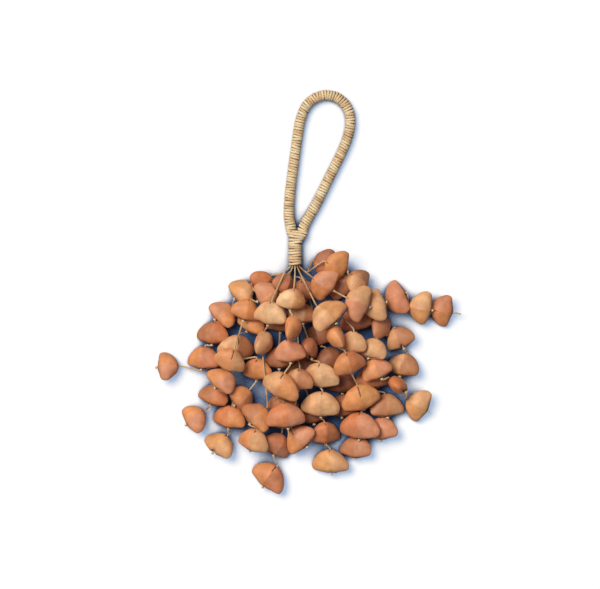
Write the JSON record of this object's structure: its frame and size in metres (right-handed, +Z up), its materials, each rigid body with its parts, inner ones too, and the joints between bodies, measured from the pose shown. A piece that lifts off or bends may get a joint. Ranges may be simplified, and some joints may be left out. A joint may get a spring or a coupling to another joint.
{
  "type": "hand rattle",
  "caption": "Hand rattle of hollow nut shells on strings that fan out from the bound neck of a twine-wrapped loop handle, lying flat as a loose heap.",
  "frame": {"origin": "on the surface that the rattle lies on, under the middle of its overall box", "axes": "+Y along the handle from the shells towards the top of the loop, +Z up, +X to the right of the loop"},
  "size_m": [0.2762, 0.3622, 0.0522],
  "materials": {
    "fibre": "matte",
    "twine": "matte",
    "nut_shell": "satin"
  },
  "bodies": {
    "root": {"handle_core": "fibre", "loop_wrap": "twine", "neck_binding": "twine", "strand_01": "nut_shell", "strand_02": "nut_shell", "strand_03": "nut_shell", "strand_04": "nut_shell", "strand_05": "nut_shell", "strand_06": "nut_shell", "strand_07": "nut_shell", "strand_08": "nut_shell", "strand_09": "nut_shell", "strand_10": "nut_shell", "strand_11": "nut_shell", "strand_12": "nut_shell", "strand_13": "nut_shell", "strand_14": "nut_shell", "strand_15": "nut_shell"}
  },
  "joints": []
}
